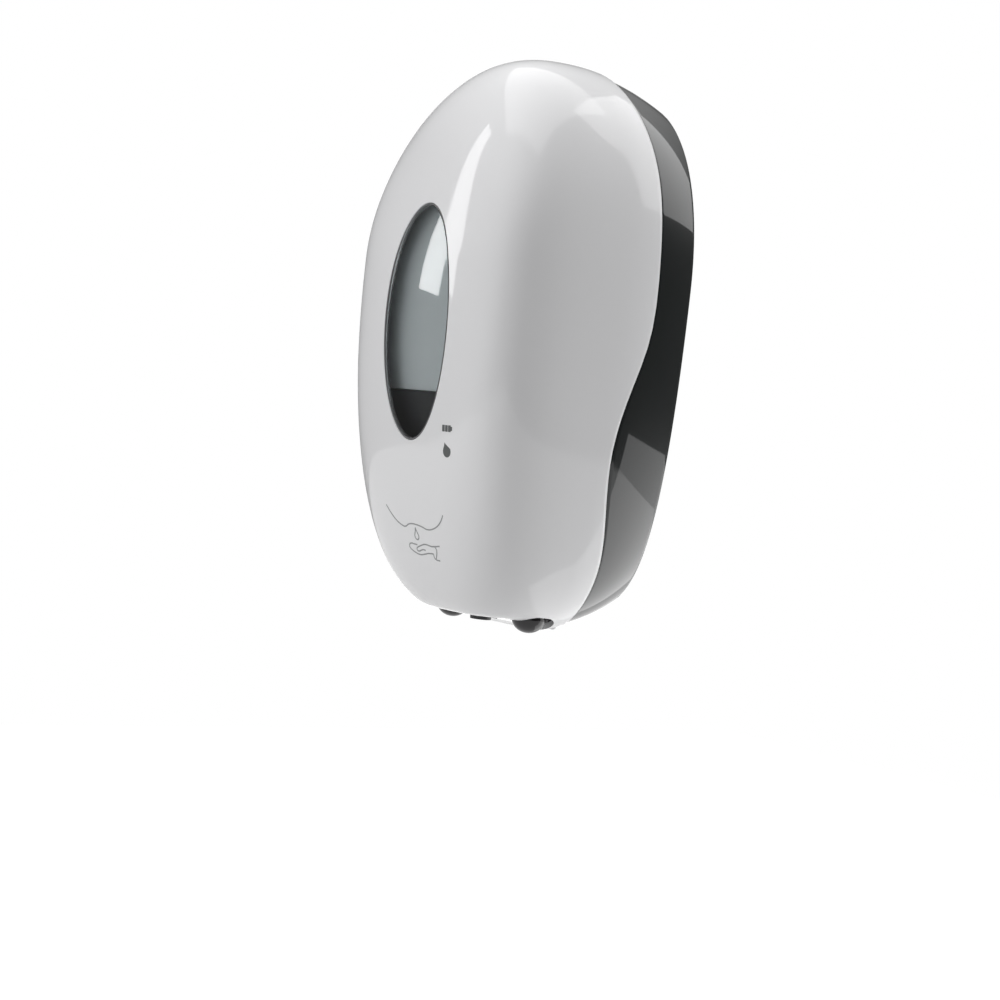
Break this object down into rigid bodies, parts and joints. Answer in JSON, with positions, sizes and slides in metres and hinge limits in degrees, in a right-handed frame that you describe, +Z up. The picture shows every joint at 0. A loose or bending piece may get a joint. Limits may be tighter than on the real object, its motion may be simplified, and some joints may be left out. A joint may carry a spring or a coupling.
{
  "type": "touchless hand sanitizer dispenser",
  "caption": "Wall-mounted egg-shaped touchless gel dispenser with a hinged cover, an oval bottle window and a geared pump.",
  "frame": {"origin": "on the wall plane, at the centre of the four wall holes, where the egg is widest", "axes": "+Z up, the front faces -Y and +Y points into the wall, +X to the right seen from the front"},
  "size_m": [0.134, 0.1154, 0.2697],
  "materials": {
    "white_shell": "glossy",
    "dark_trim": "glossy",
    "clear_window": "glossy",
    "indicator": "glossy",
    "dark_case": "glossy",
    "black_plastic": "satin",
    "bottle": "satin",
    "white_plastic": "satin",
    "grey_plastic": "satin",
    "smoked_lens": "glossy",
    "rubber": "matte",
    "steel": "brushed",
    "contact_metal": "bright",
    "cell_wrapper": "satin",
    "circuit_board": "satin",
    "light_pipe": "glossy"
  },
  "bodies": {
    "rear_case": {"rear_case": "dark_case", "hinge_pins": "steel", "latch_spring": "steel", "battery_box": "grey_plastic", "battery_contacts": "contact_metal", "battery_cell_1": "cell_wrapper", "battery_cell_2": "cell_wrapper", "battery_cell_3": "cell_wrapper", "battery_cell_4": "cell_wrapper", "battery_box_screws": "steel", "pump_housing": "black_plastic", "housing_back": "black_plastic", "housing_screws": "steel", "outlet_grommet": "rubber", "inlet_tube": "white_plastic", "delivery_tube": "rubber", "nozzle": "black_plastic", "duckbill_valve": "rubber", "sensor_lens_left": "smoked_lens", "sensor_lens_right": "smoked_lens", "ir_emitter": "circuit_board", "ir_receiver": "circuit_board", "gear_plate": "black_plastic", "gearbox_screws": "steel", "motor": "steel", "motor_screws": "steel", "gear_axle": "steel", "pump_body": "grey_plastic", "pump_cover": "grey_plastic", "idler_shaft": "steel", "pump_screws": "steel", "control_board": "circuit_board", "board_screws": "steel", "light_pipes": "light_pipe", "power_switch": "black_plastic"},
    "front_cover": {"front_cover": "white_shell", "window_trim": "dark_trim", "window_lens": "clear_window", "battery_indicator": "indicator", "gel_indicator": "indicator"},
    "latch": {"latch": "grey_plastic"},
    "bottle": {"bottle": "bottle"},
    "bottle_cap": {"bottle_cap": "white_plastic"},
    "battery_door": {"battery_door": "grey_plastic"},
    "switch_knob": {"switch_knob": "white_plastic"},
    "motor_pinion": {"motor_pinion": "white_plastic", "motor_shaft": "steel"},
    "compound_gear": {"compound_gear": "white_plastic"},
    "drive_gear": {"drive_gear": "white_plastic", "drive_shaft": "steel", "pump_driver_gear": "white_plastic"},
    "pump_idler_gear": {"pump_idler_gear": "white_plastic"}
  },
  "joints": [
    {"name": "cover_hinge", "type": "hinge", "parent": "rear_case", "child": "front_cover", "pos_m": [0, -0.0365, -0.1618], "axis": [1, 0, 0], "range_deg": [0, 60]},
    {"name": "latch_slide", "type": "slide", "parent": "rear_case", "child": "latch", "axis": [0, 0, -1], "range_m": [0, 0.0035], "stiffness_N_per_m": 400, "springref_m": -0.002, "deforming": ["latch_spring"]},
    {"name": "bottle_lift", "type": "slide", "parent": "rear_case", "child": "bottle", "axis": [0, 0, 1], "range_m": [0, 0.01]},
    {"name": "cap_turn", "type": "hinge", "parent": "bottle", "child": "bottle_cap", "pos_m": [0, -0.058, 0.067], "axis": [0, 0, 1], "range_deg": [0, 540]},
    {"name": "door_slide", "type": "slide", "parent": "rear_case", "child": "battery_door", "axis": [0, 0, 1], "range_m": [0, 0.045]},
    {"name": "knob_slide", "type": "slide", "parent": "rear_case", "child": "switch_knob", "axis": [1, 0, 0], "range_m": [0, 0.004]},
    {"name": "drive_spin", "type": "hinge", "parent": "rear_case", "child": "drive_gear", "pos_m": [-0.006, -0.045, -0.101], "axis": [0, -1, 0], "continuous": true},
    {"name": "compound_spin", "type": "hinge", "parent": "rear_case", "child": "compound_gear", "pos_m": [-0.01834, -0.043, -0.11571], "axis": [0, -1, 0], "continuous": true},
    {"name": "motor_spin", "type": "hinge", "parent": "rear_case", "child": "motor_pinion", "pos_m": [-0.01269, -0.043, -0.13489], "axis": [0, -1, 0], "continuous": true},
    {"name": "idler_spin", "type": "hinge", "parent": "rear_case", "child": "pump_idler_gear", "pos_m": [0.006, -0.058, -0.101], "axis": [0, -1, 0], "continuous": true}
  ],
  "couplings": [
    {"joint": "compound_spin", "follows": "drive_spin", "ratio": -3},
    {"joint": "motor_spin", "follows": "drive_spin", "ratio": 12},
    {"joint": "idler_spin", "follows": "drive_spin", "ratio": -1}
  ]
}
